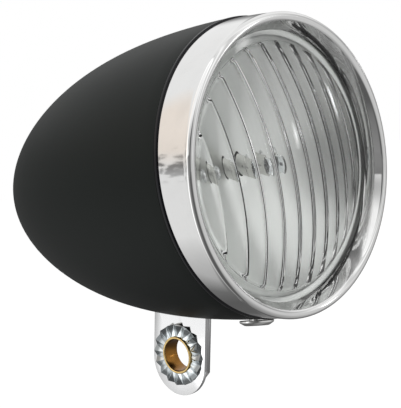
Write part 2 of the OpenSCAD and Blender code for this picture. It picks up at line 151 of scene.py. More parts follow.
class Board:  # a node tree that is being filled
    def __init__(self, tree):
        self.tree = tree

    def add(self, kind, settings=None, **inputs):
        node = self.tree.nodes.new(kind)
        for key, value in (settings or {}).items():
            if key == "stops":
                self.stops(node.color_ramp, value)
            else:
                setattr(node, key, value)
        for key, value in inputs.items():
            plug(self.tree, node.inputs[key.replace("_", " ")], value)
        return node

    def stops(self, ramp, stops):
        while len(ramp.elements) < len(stops):
            ramp.elements.new(1.0)
        for element, (spot, shade) in zip(ramp.elements, stops):
            element.position = spot
            element.color = (shade, shade, shade, 1)

    def wire(self, node, output=0):
        return Wire(self.tree, node.outputs[output])

    def parts(self, place):
        split = self.add("ShaderNodeSeparateXYZ", None, Vector=place)
        return [self.wire(split, k) for k in range(3)]

    def rays(self):  # 1 where the ray comes from the camera, and where it comes off a mirror or through glass
        path = self.add("ShaderNodeLightPath")
        seen, glossy, through = (self.wire(path, name) for name in ("Is Camera Ray", "Is Glossy Ray",
                                                                   "Is Transmission Ray"))
        return seen, (glossy + through).clamped()


class Finish(Board):  # a material under construction
    def __init__(self, name):
        self.material = bpy.data.materials.new(name)
        self.material.use_nodes = True
        super().__init__(self.material.node_tree)
        self.shader = self.tree.nodes["Principled BSDF"]
        self.place = self.wire(self.add("ShaderNodeTexCoord"), "Object")

    def noise(self, size, detail=2.0, rough=0.5, stretch=None):
        spot = self.place
        if stretch:
            spot = self.wire(self.add("ShaderNodeMapping", None, Vector=spot, Scale=stretch))
        return self.wire(self.add("ShaderNodeTexNoise", None, Vector=spot, Scale=1 / (size * mm),
                                  Detail=detail, Roughness=rough))

    def ramp(self, value, *stops):
        return self.wire(self.add("ShaderNodeValToRGB", {"stops": stops}, Fac=value))

    def mix(self, share, first, second):
        node = self.add("ShaderNodeMix", {"data_type": "RGBA"})
        plug(self.tree, node.inputs[0], share)
        plug(self.tree, node.inputs[6], first)
        plug(self.tree, node.inputs[7], second)
        return self.wire(node, 2)

    def bump(self, height, depth, strength=1.0, under=None):
        node = self.add("ShaderNodeBump", None, Height=height, Distance=depth * mm, Strength=strength)
        if under:
            plug(self.tree, node.inputs["Normal"], under)
        return self.wire(node)

    def set(self, **values):
        for key, value in values.items():
            plug(self.tree, self.shader.inputs[key.replace("_", " ")], value)
        return self.material


def shaded(tone, share):
    return tuple(share * part for part in tone)


def blackEnamelFinish():
    paint = Finish("satinBlackEnamel")
    peel = paint.noise(0.55, detail=1.5)
    cloud = paint.noise(14, detail=3)
    dust = paint.noise(0.12, detail=2)
    speck = (dust > 0.74) * paint.ramp(cloud, (0.45, 0.0), (0.7, 1.0))
    colour = paint.mix(cloud, (0.0068, 0.0092, 0.0082), (0.0095, 0.0125, 0.0112))
    colour = paint.mix(speck * 0.5, colour, (0.05, 0.05, 0.048))
    rough = 0.4 + cloud * 0.08 + dust * 0.05
    return paint.set(Base_Color=colour, Roughness=rough, Specular_IOR_Level=0.13,
                     Normal=paint.bump(peel, 0.012, 0.6))


def sealFinish():
    rubber = Finish("glossBlackSeal")
    cloud = rubber.noise(6, detail=3)
    fine = rubber.noise(0.2)
    return rubber.set(Base_Color=rubber.mix(cloud, (0.002, 0.002, 0.004), (0.005, 0.005, 0.008)),
                      Roughness=0.22 + cloud * 0.1, Specular_IOR_Level=0.25,
                      Normal=rubber.bump(fine, 0.006, 0.4))


# the sheared edges' duller plating, which is real wear, and painted shade on the toothed ring's rim
platingWearAndShade = {"cutTone": 0.5, "cutRough": 0.22, "rimShade": 0.36, "rimFade": 0.7}


def chromeFinish(name, tone, rough=0.04, scuff=0.05, ripple=0.02, cutAt=0.0, shadeFrom=0.0):
    chrome = Finish(name)
    wave = chrome.noise(9, detail=1)
    hair = chrome.noise(0.25, detail=2, stretch=(1, 1, 14))
    smear = chrome.noise(5, detail=4, rough=0.6)
    haze = chrome.ramp(smear, (0.46, 0.0), (0.75, 1.0))
    colour = chrome.mix(haze * 0.35, tone, shaded(tone, 0.9))
    rough = rough + haze * scuff
    if cutAt:  # the tab's sheared edges, this far from its middle, are duller than its faces
        x, y, z = chrome.parts(chrome.place)
        lean = math.radians(lamp["tabLean"])
        cut = abs(y * math.cos(lean) + z * math.sin(lean)) > cutAt * mm
        colour = chrome.mix(cut, colour, shaded(tone, platingWearAndShade["cutTone"]))
        rough = rough + cut * platingWearAndShade["cutRough"]
    if shadeFrom:  # painted shade: the ring's teeth are darker from this radius to its rim
        x, y, z = chrome.parts(chrome.place)
        outer = ((span(y, z) - shadeFrom * mm) / (platingWearAndShade["rimFade"] * mm)).clamped()
        colour = chrome.mix(outer, colour, shaded(tone, platingWearAndShade["rimShade"]))
    under = chrome.bump(wave, ripple)
    return chrome.set(Base_Color=colour, Metallic=1.0, Roughness=rough,
                      Normal=chrome.bump(hair, 0.001, 0.25, under=under))


def reflectorFinish():
    silver = Finish("polishedReflector")
    cloud = silver.noise(7, detail=3)
    grain = silver.noise(0.4, detail=2)
    wave = silver.noise(11, detail=1)
    return silver.set(Base_Color=silver.mix(cloud, (0.82, 0.83, 0.82), (0.9, 0.91, 0.9)), Metallic=1.0,
                      Roughness=0.27 + cloud * 0.08,
                      Normal=silver.bump(grain, 0.002, 0.3, under=silver.bump(wave, 0.05)))


def lensFinish():
    glass = Finish("flutedGlass")
    ripple = glass.noise(6, detail=1)
    seed = glass.noise(0.5, detail=1)
    return glass.set(Base_Color=(0.965, 0.975, 0.965), Roughness=0.0, IOR=1.5, Transmission_Weight=1.0,
                     Normal=glass.bump(seed, 0.0008, 0.3, under=glass.bump(ripple, 0.02)))


def bulbGlassFinish():
    glass = Finish("bulbGlass")
    ripple = glass.noise(3, detail=1)
    return glass.set(Base_Color=(0.94, 0.96, 0.97), Roughness=0.0, IOR=1.45, Transmission_Weight=1.0,
                     Normal=glass.bump(ripple, 0.02))


def steelFinish(name, tone, rough=0.28, grainStretch=(1, 1, 12), grain=0.15):
    steel = Finish(name)
    lines = steel.noise(grain, detail=3, stretch=grainStretch)
    cloud = steel.noise(4, detail=4)
    return steel.set(Base_Color=steel.mix(cloud, shaded(tone, 0.72), tone), Metallic=1.0,
                     Roughness=rough + lines * 0.12 - cloud * 0.04, Normal=steel.bump(lines, 0.003, 0.35))


# tarnish is the brass's own wear; the bore colour is painted shade in the hollow
brassWearAndShade = {"tarnish": (0.62, 0.52, 0.45), "bore": (0.26, 0.12, 0.025)}


def brassFinish(name, tone, bore=0.0):  # painted shade inside a bore of this radius along X
    brass = Finish(name)
    tarnish = brass.ramp(brass.noise(1.4, detail=4, rough=0.6), (0.45, 0.0), (0.8, 1.0))
    fine = brass.noise(0.12, detail=2)
    dull = tuple(part * share for part, share in zip(tone, brassWearAndShade["tarnish"]))
    colour = brass.mix(tarnish * 0.6, tone, dull)
    if bore:
        x, y, z = brass.parts(brass.place)
        # painted shade: dark brown inside the bore
        colour = brass.mix(span(y, z) < bore * mm, colour, brassWearAndShade["bore"])
    return brass.set(Base_Color=colour, Metallic=1.0, Roughness=0.16 + tarnish * 0.2,
                     Normal=brass.bump(fine, 0.002, 0.3))


def mouldedFinish(name, dark, light, rough=0.5, grain=0.3, depth=0.01):
    plastic = Finish(name)
    cloud = plastic.noise(3, detail=5, rough=0.65)
    fine = plastic.noise(grain, detail=2)
    return plastic.set(Base_Color=plastic.mix(cloud, dark, light), Roughness=rough + cloud * 0.12,
                       Normal=plastic.bump(fine, depth, 0.5))


finishes = {
    "enamel": blackEnamelFinish(),
    "seal": sealFinish(),
    "bezel": chromeFinish("bezelChrome", (0.775, 0.775, 0.77)),
    "screw": chromeFinish("screwChrome", (0.84, 0.84, 0.83), rough=0.07, ripple=0.005),
    "tab": chromeFinish("tabPlating", (0.99, 0.995, 1.0), rough=0.12, scuff=0.12, ripple=0.01, cutAt=7.46),
    # painted shade on the outer part of the ring's teeth
    "ring": chromeFinish("ringPlating", (0.8, 0.86, 0.88), rough=0.07, scuff=0.08, ripple=0.01, shadeFrom=5.0),
    "reflector": reflectorFinish(),
    "lens": lensFinish(),
    "bulbGlass": bulbGlassFinish(),
    "collar": steelFinish("bulbCollar", (0.72, 0.72, 0.69), rough=0.12),
    "filament": steelFinish("filamentWire", (0.32, 0.32, 0.34), rough=0.3, grain=0.1),
    "vitrite": mouldedFinish("blackVitrite", (0.008, 0.006, 0.01), (0.02, 0.014, 0.022), rough=0.12),
    "solder": steelFinish("solder", (0.55, 0.55, 0.57), rough=0.35, grainStretch=(1, 1, 1)),
    "gasket": mouldedFinish("gasketRubber", (0.2, 0.205, 0.2), (0.28, 0.285, 0.28), rough=0.6),
    "clips": steelFinish("clipSteel", (0.6, 0.61, 0.63)),
    "holder": steelFinish("holderZinc", (0.68, 0.69, 0.7), rough=0.25),
    "rivet": steelFinish("rivetAluminium", (0.82, 0.83, 0.84), rough=0.14, grainStretch=(1, 1, 1)),
    "nut": steelFinish("nutZinc", (0.62, 0.63, 0.66), rough=0.25),
    "saddle": steelFinish("saddleZinc", (0.56, 0.57, 0.59), rough=0.3),
    "eyelet": brassFinish("eyeletBrass", (0.86, 0.63, 0.27), bore=3.52),
    "terminalBrass": brassFinish("terminalBrass", (0.8, 0.6, 0.28)),
    "bronze": brassFinish("springBronze", (0.72, 0.42, 0.22)),
    "phenolic": mouldedFinish("brownPhenolic", (0.055, 0.022, 0.012), (0.11, 0.05, 0.026), rough=0.36),
    "grommet": mouldedFinish("grommetRubber", (0.009, 0.009, 0.01), (0.022, 0.022, 0.024), rough=0.5),
}
print("finishes made:", len(finishes))


# Modelling helpers

mergeGap = 0.0001 * mm
sharpAngle = 35
brokenEdge = {"merge": 0.002, "flat": 0.5, "keen": 40.0}  # millimetres, then degrees


def drawn(bm, profile, closed=True):  # a radius and forward outline beside the Y axis
    corners = [bm.verts.new((radius * mm, -forward * mm, 0)) for radius, forward in profile]
    for first, second in zip(corners, corners[1:] + (corners[:1] if closed else [])):
        if max(first.co.x, second.co.x) > mergeGap:
            bm.edges.new((first, second))
    return corners


def turned(profile, rounds=(), steps=192, closed=True):  # the outline, with its corners rounded, spun about Y
    bm = bmesh.new()
    corners = drawn(bm, profile, closed)
    for index, size in rounds:
        bmesh.ops.bevel(bm, geom=[corners[index]], offset=size * mm, segments=4, profile=0.5,
                        affect="VERTICES", material=-1)
    bmesh.ops.spin(bm, geom=bm.verts[:] + bm.edges[:], cent=(0, 0, 0), axis=(0, 1, 0), angle=math.tau,
                   steps=steps, use_merge=True)
    bmesh.ops.remove_doubles(bm, verts=bm.verts, dist=mergeGap)
    return bm


def bend(radius, centre, start, end, count):  # points on an arc, in degrees from the outward side
    turns = [math.radians(start + (end - start) * k / count) for k in range(count + 1)]
    return [(centre[0] + radius * math.cos(t), centre[1] + radius * math.sin(t)) for t in turns]


def joined(bm, other):  # puts the second mesh into the first
    spare = bpy.data.meshes.new("spare")
    other.to_mesh(spare)
    other.free()
    bm.from_mesh(spare)
    bpy.data.meshes.remove(spare)
    return bm


def capped(bm):
    bmesh.ops.holes_fill(bm, edges=[e for e in bm.edges if e.is_boundary], sides=0)
    return bm


def keenEdges(bm, angle):
    return [e for e in bm.edges if len(e.link_faces) == 2 and e.calc_face_angle() > math.radians(angle)]


def softened(bm, edges, size):
    bmesh.ops.bevel(bm, geom=edges, offset=size * mm, segments=2, profile=0.5, affect="EDGES",
                    clamp_overlap=True, material=-1)
    return bm


def solid(bm, name, finish, place=None, sharp=sharpAngle, faceOut=True):
    if place:
        bm.transform(place)
    if faceOut:
        bmesh.ops.recalc_face_normals(bm, faces=bm.faces)
    mesh = bpy.data.meshes.new(name)
    bm.to_mesh(mesh)
    bm.free()
    mesh.materials.append(finishes[finish])
    mesh.shade_smooth()
    mesh.set_sharp_from_angle(angle=math.radians(sharp))
    piece = bpy.data.objects.new(name, mesh)
    bpy.context.scene.collection.objects.link(piece)
    return piece


def seat(piece, body, slot, *stoodFor):
    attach(piece, body)
    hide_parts(*stoodFor)


def block(wide, deep, tall, centre, place):
    bm = bmesh.new()
    bmesh.ops.create_cube(bm, size=mm)
    bmesh.ops.scale(bm, vec=(wide, deep, tall), verts=bm.verts)
    bmesh.ops.translate(bm, vec=Vector(centre) * mm, verts=bm.verts)
    return solid(bm, "cutter", "seal", place)


def drill(radius, long, place):
    bm = bmesh.new()
    bmesh.ops.create_cone(bm, cap_ends=True, segments=64, radius1=radius * mm, radius2=radius * mm,
                          depth=long * mm)
    return solid(bm, "cutter", "seal", place)


def carve(piece, *cutters):
    for cutter in cutters:
        modifier = piece.modifiers.new("carve", "BOOLEAN")
        modifier.solver = "EXACT"
        modifier.object = cutter
    bpy.context.view_layer.update()
    graph = bpy.context.evaluated_depsgraph_get()
    carved = bpy.data.meshes.new_from_object(piece.evaluated_get(graph))
    piece.modifiers.clear()
    piece.data = carved
    carved.set_sharp_from_angle(angle=math.radians(sharpAngle))
    for cutter in cutters:
        bpy.data.objects.remove(cutter)
    return piece


def dressed(node, name, finish, edge):  # the CAD node's own shape, with broken edges
    bm = bmesh.new()
    bm.from_mesh(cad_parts[node].data)
    bmesh.ops.remove_doubles(bm, verts=bm.verts, dist=brokenEdge["merge"] * mm)
    bmesh.ops.dissolve_limit(bm, angle_limit=math.radians(brokenEdge["flat"]), verts=bm.verts, edges=bm.edges)
    return solid(softened(bm, keenEdges(bm, brokenEdge["keen"]), edge), name, finish)


# Shell and its seal

shellSize = {"radius": 30.4, "length": 72.0, "wall": 1.0, "fullness": 2.44, "roundness": 1.58, "mouth": 0.7,
             "rows": 60, "around": 256, "rounds": ((0, 0.12), (-1, 0.25))}
sealSize = {"proud": 0.03, "inner": 28.95, "rounds": ((0, 0.12), (1, 0.08))}
tabSlot = {"leaf": 0.9, "wide": 15.0, "play": 0.1, "tall": 20.0, "high": 14.0}
screwSize = {"angle": 8.0, "back": 4.9, "head": 3.5, "high": 1.1, "shank": 1.5, "slot": 0.95,
             "slotTurn": 38.0, "headPlay": 0.1, "reach": 3.0, "point": 0.3, "brim": 0.4, "crown": 0.7,
             "around": 96, "rounds": ((4, 0.15), (5, 0.2), (6, 0.25)),
             "notchPlay": 0.3, "notchPast": 2.0, "holePlay": 0.05, "cutDeep": 6.0}
inletSize = {"angle": -32.0, "back": 46.0, "hole": 2.5, "bore": 1.4, "lip": 0.9, "lipThick": 0.95,
             "groove": 0.95, "lipSlope": 0.8, "cutDeep": 8.0, "slopeStep": 0.5, "around": 96,
             "rounds": ((0, 0.3), (1, 0.35), (5, 0.2), (6, 0.5), (7, 0.4))}
screwFrame = lampFrame @ spun(screwSize["angle"], "Y") @ moved(0, screwSize["back"], 0) @ spun(90, "X")


def skinRadius(back):
    share = (back / shellSize["length"]) ** shellSize["fullness"]
    return shellSize["radius"] * (1 - share) ** (1 / shellSize["roundness"])


def skin(inset, start):  # the shell's outline from its mouth to its tip
    radius, length = shellSize["radius"] - inset, shellSize["length"] - inset
    first = math.asin((start / length) ** (shellSize["fullness"] / 2))
    rows = shellSize["rows"]
    turns = [first + (math.pi / 2 - first) * k / rows for k in range(rows)]
    points = [(radius * math.cos(t) ** (2 / shellSize["roundness"]),
               -length * math.sin(t) ** (2 / shellSize["fullness"])) for t in turns]
    return points + [(0.0, -length)]


def placeInlet():  # square to the shell's skin
    back, step = inletSize["back"], inletSize["slopeStep"]
    slope = math.degrees(math.atan((skinRadius(back - step) - skinRadius(back + step)) / (2 * step)))
    place = lampFrame @ spun(inletSize["angle"], "Y") @ moved(0, back, -skinRadius(back))
    return place @ spun(180 + slope, "X")


def screwDrill(radius, forward):  # a cutter on the retaining screw's axis
    return drill(radius, screwSize["cutDeep"], screwFrame @ spun(90, "X") @ moved(0, 0, forward))


def makeShell():
    outside = skin(0.0, shellSize["mouth"])
    inside = skin(shellSize["wall"], shellSize["mouth"])
    bm = turned(outside + inside[::-1], shellSize["rounds"], shellSize["around"])
    shell = solid(bm, "shell_pressing", "enamel", lampFrame)
    slot = block(2 * (tabSlot["leaf"] + tabSlot["play"]), tabSlot["wide"] + 2 * tabSlot["play"],
                 tabSlot["tall"], (0, 0, tabSlot["high"]), tabFrame)
    half, back, past = screwSize["shank"] + screwSize["notchPlay"], screwSize["back"], screwSize["notchPast"]
    notch = block(2 * half, back + past, screwSize["cutDeep"], (0, (back - past) / 2, -shellSize["radius"]),
                  lampFrame @ spun(screwSize["angle"], "Y"))
    notchEnd = screwDrill(half, shellSize["radius"])
    inlet = drill(inletSize["hole"], inletSize["cutDeep"], inletFrame)
    seat(carve(shell, slot, notch, notchEnd, inlet), "housing", "black_paint", "shell")


def makeSeal():
    proud, inner = sealSize["proud"], sealSize["inner"]
    outer, front, back = shellSize["radius"] + proud, -proud, proud - shellSize["mouth"]
    profile = [(outer, front), (outer, back), (inner, back), (inner, front)]
    seal = solid(turned(profile, sealSize["rounds"], shellSize["around"]), "seam_gasket", "seal", lampFrame)
    seat(seal, "front_unit", "black_seal", "seam_seal")


inletFrame = placeInlet()
makeShell()
makeSeal()
print("shell made")


# Bezel

bezelSize = {"band": 30.0, "swell": 0.12, "deep": 8.2, "roll": 1.0, "slope": 1.3, "slopeTurn": 23.0,
             "opening": 26.9, "sheet": 0.7, "crease": 15.0, "skirt": 28.9, "skirtLong": 8.0, "behind": 3.0,
             "wallBack": 4.35, "lap": 0.01, "bandRows": 16, "lipRows": 34, "lipInsideRows": 20,
             "around": 256, "rounds": ((2, 0.3), (3, 0.2), (4, 0.2)), "sharp": 40}


def bandLine(inset, end):  # from behind the seam to the crease where the rolled lip starts
    points = []
    for k in range(bezelSize["bandRows"] + 1):
        share = k / bezelSize["bandRows"]
        radius = bezelSize["band"] + (end[0] - bezelSize["band"]) * share ** 2
        radius += bezelSize["swell"] * math.sin(math.pi * share) - inset
        points.append((radius, (end[1] + bezelSize["behind"]) * share - bezelSize["behind"]))
    return points


def makeBezel():
    sheet, roll, opening = bezelSize["sheet"], bezelSize["roll"], bezelSize["opening"]
    core = (opening + bezelSize["slope"] + roll, bezelSize["deep"] - roll)
    lipEnd = 180 - bezelSize["slopeTurn"]
    lip = bend(roll, core, -bezelSize["crease"], lipEnd, bezelSize["lipRows"])
    lipInside = bend(roll - sheet, core, lipEnd, 0, bezelSize["lipInsideRows"])[:-1]
    foot = [(opening, bezelSize["wallBack"]), (opening + sheet, bezelSize["wallBack"])]
    profile = bandLine(0, lip[0])[:-1] + lip + foot + lipInside + bandLine(sheet, lip[0])[::-1]
    bm = turned(profile, steps=bezelSize["around"])
    bm.transform(frontFrame)
    cut = bmesh.ops.bisect_plane(bm, geom=bm.verts[:] + bm.edges[:] + bm.faces[:],
                                 plane_co=lampFrame.translation, plane_no=(0, 1, 0), clear_outer=True)
    edges = [part for part in cut["geom_cut"] if isinstance(part, bmesh.types.BMEdge)]
    bmesh.ops.bridge_loops(bm, edges=edges)
    skirt, long, lap = bezelSize["skirt"], bezelSize["skirtLong"], bezelSize["lap"]
    middle = bezelSize["band"] - sheet / 2
    profile = [(middle, lap), (middle, sheet), (skirt - sheet, sheet), (skirt - sheet, -long), (skirt, -long),
               (skirt, lap)]
    tube = solid(turned(profile, bezelSize["rounds"], bezelSize["around"]), "skirt", "bezel", lampFrame)
    carve(tube, screwDrill(screwSize["shank"] + screwSize["holePlay"], skirt - sheet / 2))
    bm.from_mesh(tube.data)  # only after the cut, because the tube overlaps the band
    bpy.data.objects.remove(tube)
    bezel = solid(bm, "chromed_bezel", "bezel", sharp=bezelSize["sharp"])
    seat(bezel, "front_unit", "bezel_chrome", "bezel")


makeBezel()
print("bezel made")


# Lens and its gasket

lensSize = {"rim": 27.9, "dome": 24.4, "domeHigh": 5.8, "step": 0.8, "stepFoot": 0.35, "wall": 2.2,
            "edge": 0.2, "face": 4.2, "rimThick": 1.5, "crownRows": 40, "around": 256,
            "rounds": (0.35, 0.3, 0.25), "flutes": 11, "fluteDeep": 0.5, "lean": 8.0, "perFlute": 12,
            "rows": 96, "merge": 0.001, "sharp": 30}
gasketSize = {"inset": 0.75, "play": 0.05, "lap": 0.02, "back": 2.9, "outer": 29.2, "front": 4.78,
              "rounds": ((0, 0.15), (5, 0.15))}


def domeHeight(edge, high, at):  # height of a dome at a distance from its axis
    ball = (edge * edge + high * high) / (2 * high)
    return high - ball + math.sqrt(ball * ball - at * at)


def fluteLift(across, pitch):
    depth = lensSize["fluteDeep"]
    cut = (pitch * pitch / 4 + depth * depth) / (2 * depth)
    off = (across / pitch + 0.5) % 1.0 - 0.5
    return math.sqrt(cut * cut - (off * pitch) ** 2) - cut + depth


def flutedSheet(hollow, base):
    columns, rows = lensSize["flutes"] * lensSize["perFlute"], lensSize["rows"]
    bm = bmesh.new()
    bmesh.ops.create_grid(bm, x_segments=columns, y_segments=rows, size=1.0)
    pitch = 2 * hollow / lensSize["flutes"]
    for vert in bm.verts:
        across = vert.co.x * hollow
        upright = vert.co.y * math.sqrt(max(hollow * hollow - across * across, 0))
        height = domeHeight(hollow, lensSize["domeHigh"], math.hypot(across, upright))
        vert.co = Vector((across, -(base + height + fluteLift(across, pitch)), upright)) * mm
    bmesh.ops.remove_doubles(bm, verts=bm.verts, dist=lensSize["merge"] * mm)
    bm.transform(spun(-lensSize["lean"], "Y"))
    return bm


def makeLens():
    face, rim, dome, rows = lensSize["face"], lensSize["rim"], lensSize["dome"], lensSize["crownRows"]
    edge, back, hollow = face + lensSize["step"], face - lensSize["rimThick"], dome - lensSize["edge"]
    radii = [dome * k / rows for k in range(rows + 1)]
    crown = [(radius, edge + domeHeight(dome, lensSize["domeHigh"], radius)) for radius in radii]
    profile = crown + [(dome + lensSize["stepFoot"], face), (rim, face), (rim, back), (hollow, back)]
    rounds = [(rows + k, size) for k, size in enumerate(lensSize["rounds"])]
    bm = turned(profile, rounds, lensSize["around"], closed=False)
    joined(bm, flutedSheet(hollow, edge - lensSize["wall"]))
    bmesh.ops.bridge_loops(bm, edges=[e for e in bm.edges if e.is_boundary])
    lens = solid(bm, "fluted_lens", "lens", frontFrame, sharp=lensSize["sharp"])
    seat(lens, "front_unit", "lens_glass", "lens")


def makeGasket():
    inner, groove = bezelSize["opening"] + gasketSize["inset"], lensSize["rim"] + gasketSize["play"]
    shelf, back = lensSize["face"] + gasketSize["lap"], gasketSize["back"]
    outer, front = gasketSize["outer"], gasketSize["front"]
    profile = [(inner, shelf), (groove, shelf), (groove, back), (outer, back), (outer, front), (inner, front)]
    gasket = solid(turned(profile, gasketSize["rounds"]), "lens_ring_rubber", "gasket", frontFrame)
    seat(gasket, "front_unit", "grey_rubber", "lens_gasket")


makeLens()
makeGasket()
print("lens made")


# Reflector and its clips

bowlSize = {"rim": 26.0, "deep": 14.7, "wall": 0.6, "neck": 2.5, "flange": 27.9, "front": 2.7,
            "rimTurn": 0.15, "lensPlay": 0.02, "flangeSlack": 0.1, "rows": 48, "sharp": 40}
clipsEdge = 0.08


def bowlForward(radius):
    return bowlSize["front"] - bowlSize["deep"] * (1 - (radius / bowlSize["rim"]) ** 2)


def makeReflector():
    front, wall, rows, rim = (bowlSize[key] for key in ("front", "wall", "rows", "rim"))
    face, flange, neck = front - bowlSize["lensPlay"], bowlSize["flange"], bowlSize["neck"]
    radii = [neck + (rim - neck) * k / rows for k in range(rows + 1)]
    inside = [(radius, bowlForward(radius)) for radius in radii]
    inside[-1] = (rim + bowlSize["rimTurn"], face)
    outside = []
    for radius in radii:
        slope = math.atan(2 * radius * bowlSize["deep"] / rim ** 2)
        forward = bowlForward(radius) - wall * math.cos(slope)
        if forward < front - wall - bowlSize["flangeSlack"]:
            outside.append((radius + wall * math.sin(slope), forward))
    brim = [(flange, face), (flange, front - wall), (rim + wall, front - wall)]
    reflector = solid(turned(inside + brim + outside[::-1]), "reflector_bowl", "reflector", frontFrame,
                      sharp=bowlSize["sharp"])
    seat(reflector, "front_unit", "reflector_silver", "reflector")


makeReflector()
seat(dressed("reflector_clips", "reflector_spring_clips", "clips", clipsEdge), "front_unit", "spring_steel",
     "reflector_clips")
print("reflector made")


# Bulb and its holder

bulbSize = {"floor": -12.0, "cap": 4.7, "capLong": 9.0, "sink": 0.6, "pitch": 1.81, "thread": 0.32,
            "threadRows": 10, "threadSteps": 64, "threadMerge": 0.01, "around": 96,
            "collar": 2.15, "collarLong": 11.7, "sleeveIn": 0.5, "grooveBack": 5.1, "grooveFront": 3.7,
            "grooveDeep": 0.4, "grooveRamp": 0.3,
            "rounds": ((2, 0.2), (3, 0.1), (4, 0.1), (5, 0.2), (6, 0.15)),
            "glass": 1.85, "glassLong": 4.3, "glassIn": 1.5, "wall": 0.5, "tip": 0.45, "tipRows": 10,
            "hollowEnd": 1.6, "hollowDome": 0.5, "hollowRounds": ((2, 0.4),)}
endSize = {"bead": 4.0, "beadLong": 1.8, "beadEdge": 0.5, "capPlay": 0.02, "beadRounds": ((1, 0.3), (2, 0.3)),
           "contact": 1.6, "contactHigh": 0.9, "contactSide": 0.5, "contactTop": 0.5,
           "contactRounds": ((2, 0.3), (3, 0.3)), "contactSteps": 64}
filamentSize = {"ahead": 1.9, "gap": 0.42, "post": 0.2, "postIn": 1.0, "postSteps": 16,
                "postRounds": ((2, 0.08),), "coil": 0.28, "wire": 0.055, "wireSides": 8, "turns": 9,
                "stepsRound": 20}
holderSize = {"play": 0.06, "wall": 0.7, "bowlPlay": 0.05, "flange": 8.8, "flangeFrom": 1.0, "flangeTo": 1.6,
              "around": 128, "rounds": ((1, 0.2), (2, 0.25), (3, 0.3), (4, 0.15), (5, 0.15))}
rivetSize = {"turn": -6.5, "shank": 0.8, "head": 1.4, "headSink": 0.05, "headTop": 1.33, "headEnd": 88,
             "headRows": 10, "tail": 1.1, "tailBack": 2.1, "tailLong": 0.5, "around": 48}
capFront = bulbSize["floor"] - bulbSize["sink"]
capBack = capFront - bulbSize["capLong"]
collarFront = capFront + bulbSize["collarLong"]
glassFront = collarFront + bulbSize["glassLong"]


def threadedCap():
    pitch, stepsRound, rows = bulbSize["pitch"], bulbSize["threadSteps"], bulbSize["threadRows"]
    bm = bmesh.new()
    wave = [(0.5 - 0.5 * math.cos(math.tau * k / rows)) * bulbSize["thread"] for k in range(rows + 1)]
    profile = [(bulbSize["cap"] - dip, capBack - pitch + pitch * k / rows) for k, dip in enumerate(wave)]
    drawn(bm, profile, closed=False)
    turns = bulbSize["capLong"] / pitch + 2
    bmesh.ops.spin(bm, geom=bm.verts[:] + bm.edges[:], cent=(0, 0, 0), axis=(0, 1, 0),
                   dvec=(0, -pitch * mm / stepsRound, 0), angle=math.tau * turns,
                   steps=round(stepsRound * turns), use_merge=False)
    bmesh.ops.remove_doubles(bm, verts=bm.verts, dist=bulbSize["threadMerge"] * mm)
    for forward, side in ((capBack, 1), (capFront, -1)):
        bmesh.ops.bisect_plane(bm, geom=bm.verts[:] + bm.edges[:] + bm.faces[:],
                               plane_co=(0, -forward * mm, 0), plane_no=(0, side, 0), clear_outer=True)
    return capped(bm)


def makeCap():
    collar, glass, ramp = bulbSize["collar"], bulbSize["glass"], bulbSize["grooveRamp"]
    waist = collar - bulbSize["grooveDeep"]
    start, seatBack = capFront - bulbSize["sleeveIn"], collarFront - bulbSize["glassIn"]
    grooveBack, grooveFront = collarFront - bulbSize["grooveBack"], collarFront - bulbSize["grooveFront"]
    profile = [(0, start), (collar, start), (collar, grooveBack), (waist, grooveBack + ramp),
               (waist, grooveFront - ramp), (collar, grooveFront), (collar, collarFront),
               (glass, collarFront), (glass, seatBack), (0, seatBack)]
    sleeve = turned(profile, bulbSize["rounds"], bulbSize["around"])
    cap = solid(joined(threadedCap(), sleeve), "bulb_cap_and_collar", "collar", frontFrame)
    seat(cap, "bulb", "cap_nickel", "bulb_cap")


def makeEnvelope():
    glass, wall, around = bulbSize["glass"], bulbSize["wall"], bulbSize["around"]
    back, tip, inner = collarFront - bulbSize["glassIn"], glass * bulbSize["tip"], glass - wall
    dome = bend(tip, (glass - tip, glassFront - tip), 0, 90, bulbSize["tipRows"])
    tube = turned([(0, back), (glass, back)] + dome + [(0, glassFront)], steps=around)
    end = glassFront - bulbSize["hollowEnd"]
    hollow = turned([(0, back + wall), (inner, back + wall), (inner, end), (0, end + bulbSize["hollowDome"])],
                    bulbSize["hollowRounds"], around)
    bmesh.ops.recalc_face_normals(tube, faces=tube.faces)
    bmesh.ops.recalc_face_normals(hollow, faces=hollow.faces)
    bmesh.ops.reverse_faces(hollow, faces=hollow.faces)
    envelope = solid(joined(tube, hollow), "bulb_envelope", "bulbGlass", frontFrame, faceOut=False)
    seat(envelope, "bulb", "bulb_glass", "bulb_glass")


def makeBulbEnd():
    top, back, contact = capBack + endSize["capPlay"], capBack - endSize["beadLong"], endSize["contact"]
    profile = [(0, top), (endSize["bead"], top), (contact + endSize["beadEdge"], back), (0, back)]
    bead = solid(turned(profile, endSize["beadRounds"], bulbSize["around"]), "bulb_end_bead", "vitrite",
                 frontFrame)
    seat(bead, "bulb", "vitrite", "bulb_insulator")
    end = back - endSize["contactHigh"]
    profile = [(0, back), (contact, back), (contact, back - endSize["contactSide"]),
               (contact * endSize["contactTop"], end), (0, end)]
    drop = solid(turned(profile, endSize["contactRounds"], endSize["contactSteps"]), "bulb_solder_tip",
                 "solder", frontFrame)
    seat(drop, "bulb", "solder", "bulb_contact")


